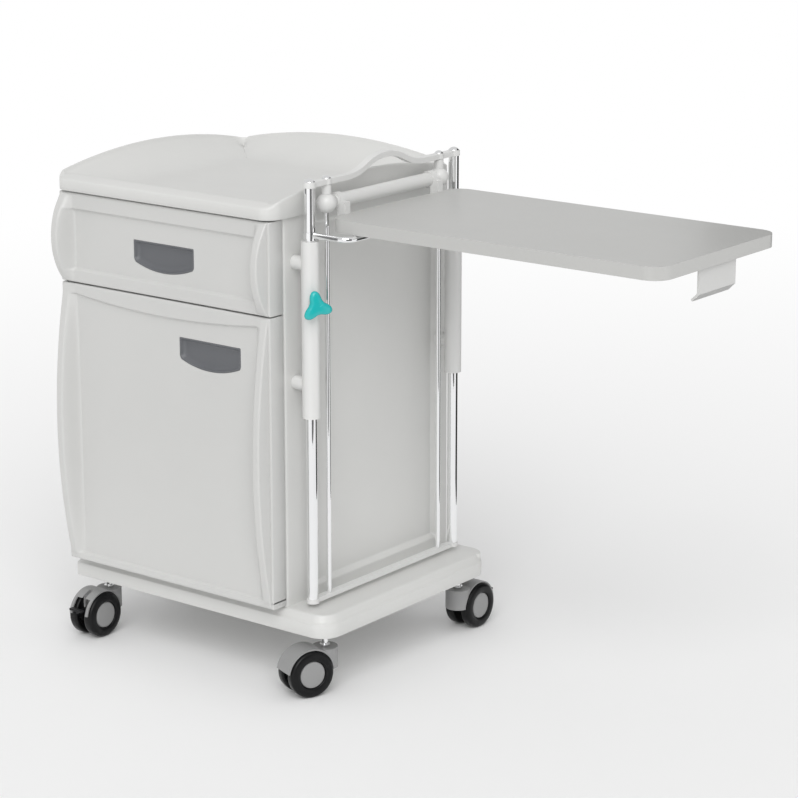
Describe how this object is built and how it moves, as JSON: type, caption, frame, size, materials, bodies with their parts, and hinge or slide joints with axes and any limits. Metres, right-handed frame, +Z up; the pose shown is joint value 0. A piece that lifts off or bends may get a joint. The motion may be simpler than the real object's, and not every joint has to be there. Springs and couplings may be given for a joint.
{
  "type": "bedside cabinet",
  "caption": "Rolling bedside cabinet with drawer, hinged door, tray top and a side-mounted over-bed table board that lifts on chrome posts and tilts up.",
  "frame": {"origin": "on the floor under the middle of the whole object's bounding box, table board out to the side", "axes": "+Z up, -Y towards the front (drawer and door), +X towards the table side"},
  "size_m": [1.089, 0.5205, 0.829],
  "materials": {
    "front_plastic": "smooth moulded, satin",
    "body_plastic": "smooth moulded, satin",
    "inner_plastic": "fine moulded grain",
    "pull_plastic": "fine moulded grain",
    "runner_steel": "zinc plated sheet",
    "screw_steel": "bright zinc",
    "black_plastic": "moulded, fine grain",
    "chromed_steel": "bright chrome tube",
    "white_coated": "powder coated, light texture",
    "board_laminate": "laminate top with matching edge",
    "hook_plastic": "smooth moulded",
    "turquoise_plastic": "glossy moulded",
    "caster_grey": "moulded nylon",
    "wheel_tread": "soft tread moulded on a hub"
  },
  "bodies": {
    "cabinet": {"base_plate": "body_plastic", "side_panel_left": "body_plastic", "side_panel_right": "body_plastic", "back_panel": "body_plastic", "cabinet_floor": "inner_plastic", "divider": "inner_plastic", "shelf": "inner_plastic", "shelf_pegs": "screw_steel", "top_tray": "body_plastic", "runner_outers": "runner_steel", "guide_sleeves": "white_coated", "sleeve_screws": "screw_steel", "door_pivots": "runner_steel", "door_catch": "black_plastic", "caster_stems": "chromed_steel"},
    "drawer": {"drawer_front": "front_plastic", "drawer_box": "inner_plastic", "drawer_pull": "pull_plastic", "runner_inners": "runner_steel", "drawer_screws": "screw_steel"},
    "runner_mid": {"runner_mids": "runner_steel"},
    "door": {"door_panel": "front_plastic", "door_liner": "front_plastic", "door_pull": "pull_plastic", "door_strike": "runner_steel"},
    "lift_frame": {"lift_posts": "chromed_steel", "guide_rods": "chromed_steel", "top_bar": "white_coated", "bottom_bar": "white_coated", "end_caps": "chromed_steel", "support_loop": "chromed_steel", "rod_collars": "white_coated", "slide_fittings": "white_coated"},
    "table": {"table_board": "board_laminate", "tilt_tube": "white_coated", "tilt_brackets": "white_coated", "grip_hook": "hook_plastic", "table_screws": "screw_steel"},
    "clamp": {"clamp_knob": "turquoise_plastic", "clamp_stud": "screw_steel"},
    "caster_fl": {"caster_fl_housing": "caster_grey", "caster_fl_axle": "screw_steel"},
    "caster_fl_wheel_a_body": {"caster_fl_wheel_a": "wheel_tread"},
    "caster_fl_wheel_b_body": {"caster_fl_wheel_b": "wheel_tread"},
    "caster_fl_brake": {"caster_fl_pedal": "black_plastic"},
    "caster_fr": {"caster_fr_housing": "caster_grey", "caster_fr_axle": "screw_steel"},
    "caster_fr_wheel_a_body": {"caster_fr_wheel_a": "wheel_tread"},
    "caster_fr_wheel_b_body": {"caster_fr_wheel_b": "wheel_tread"},
    "caster_rr": {"caster_rr_housing": "caster_grey", "caster_rr_axle": "screw_steel"},
    "caster_rr_wheel_a_body": {"caster_rr_wheel_a": "wheel_tread"},
    "caster_rr_wheel_b_body": {"caster_rr_wheel_b": "wheel_tread"},
    "caster_rr_brake": {"caster_rr_pedal": "black_plastic"},
    "caster_rl": {"caster_rl_housing": "caster_grey", "caster_rl_axle": "screw_steel"},
    "caster_rl_wheel_a_body": {"caster_rl_wheel_a": "wheel_tread"},
    "caster_rl_wheel_b_body": {"caster_rl_wheel_b": "wheel_tread"}
  },
  "joints": [
    {"name": "drawer_slide", "type": "slide", "parent": "cabinet", "child": "drawer", "axis": [0, -1, 0], "range_m": [0, 0.3]},
    {"name": "runner_slide", "type": "slide", "parent": "cabinet", "child": "runner_mid", "axis": [0, -1, 0], "range_m": [0, 0.15]},
    {"name": "door_hinge", "type": "hinge", "parent": "cabinet", "child": "door", "pos_m": [-0.5235, -0.22025, 0.137], "axis": [0, 0, -1], "range_deg": [0, 110]},
    {"name": "lift_slide", "type": "slide", "parent": "cabinet", "child": "lift_frame", "axis": [0, 0, 1], "range_m": [0, 0.28]},
    {"name": "table_tilt", "type": "hinge", "parent": "lift_frame", "child": "table", "pos_m": [-0.0645, 0.00675, 0.768], "axis": [0, -1, 0], "range_deg": [0, 90]},
    {"name": "clamp_turn", "type": "hinge", "parent": "cabinet", "child": "clamp", "pos_m": [-0.0645, -0.17475, 0.62], "axis": [0.866, -0.5, 0], "range_deg": [0, 270]},
    {"name": "caster_fl_swivel", "type": "hinge", "parent": "cabinet", "child": "caster_fl", "pos_m": [-0.5085, -0.17125, 0.06], "axis": [0, 0, 1], "continuous": true},
    {"name": "caster_fl_roll_a", "type": "hinge", "parent": "caster_fl", "child": "caster_fl_wheel_a_body", "pos_m": [-0.5085, -0.20525, 0.0375], "axis": [1, 0, 0], "continuous": true},
    {"name": "caster_fl_roll_b", "type": "hinge", "parent": "caster_fl", "child": "caster_fl_wheel_b_body", "pos_m": [-0.5085, -0.20525, 0.0375], "axis": [1, 0, 0], "continuous": true},
    {"name": "caster_fl_brake_press", "type": "hinge", "parent": "caster_fl", "child": "caster_fl_brake", "pos_m": [-0.5085, -0.21825, 0.0485], "axis": [1, 0, 0], "range_deg": [0, 8]},
    {"name": "caster_fr_swivel", "type": "hinge", "parent": "cabinet", "child": "caster_fr", "pos_m": [-0.0445, -0.17125, 0.06], "axis": [0, 0, 1], "continuous": true},
    {"name": "caster_fr_roll_a", "type": "hinge", "parent": "caster_fr", "child": "caster_fr_wheel_a_body", "pos_m": [-0.05724, -0.20277, 0.0375], "axis": [0.9272, -0.3746, 0], "continuous": true},
    {"name": "caster_fr_roll_b", "type": "hinge", "parent": "caster_fr", "child": "caster_fr_wheel_b_body", "pos_m": [-0.05724, -0.20277, 0.0375], "axis": [0.9272, -0.3746, 0], "continuous": true},
    {"name": "caster_rr_swivel", "type": "hinge", "parent": "cabinet", "child": "caster_rr", "pos_m": [-0.0445, 0.17875, 0.06], "axis": [0, 0, 1], "continuous": true},
    {"name": "caster_rr_roll_a", "type": "hinge", "parent": "caster_rr", "child": "caster_rr_wheel_a_body", "pos_m": [-0.0445, 0.21275, 0.0375], "axis": [-1, 0, 0], "continuous": true},
    {"name": "caster_rr_roll_b", "type": "hinge", "parent": "caster_rr", "child": "caster_rr_wheel_b_body", "pos_m": [-0.0445, 0.21275, 0.0375], "axis": [-1, 0, 0], "continuous": true},
    {"name": "caster_rr_brake_press", "type": "hinge", "parent": "caster_rr", "child": "caster_rr_brake", "pos_m": [-0.0445, 0.22575, 0.0485], "axis": [-1, 0, 0], "range_deg": [0, 8]},
    {"name": "caster_rl_swivel", "type": "hinge", "parent": "cabinet", "child": "caster_rl", "pos_m": [-0.5085, 0.17875, 0.06], "axis": [0, 0, 1], "continuous": true},
    {"name": "caster_rl_roll_a", "type": "hinge", "parent": "caster_rl", "child": "caster_rl_wheel_a_body", "pos_m": [-0.49576, 0.21027, 0.0375], "axis": [-0.9272, 0.3746, 0], "continuous": true},
    {"name": "caster_rl_roll_b", "type": "hinge", "parent": "caster_rl", "child": "caster_rl_wheel_b_body", "pos_m": [-0.49576, 0.21027, 0.0375], "axis": [-0.9272, 0.3746, 0], "continuous": true}
  ],
  "couplings": [
    {"joint": "runner_slide", "follows": "drawer_slide", "ratio": 0.5}
  ]
}
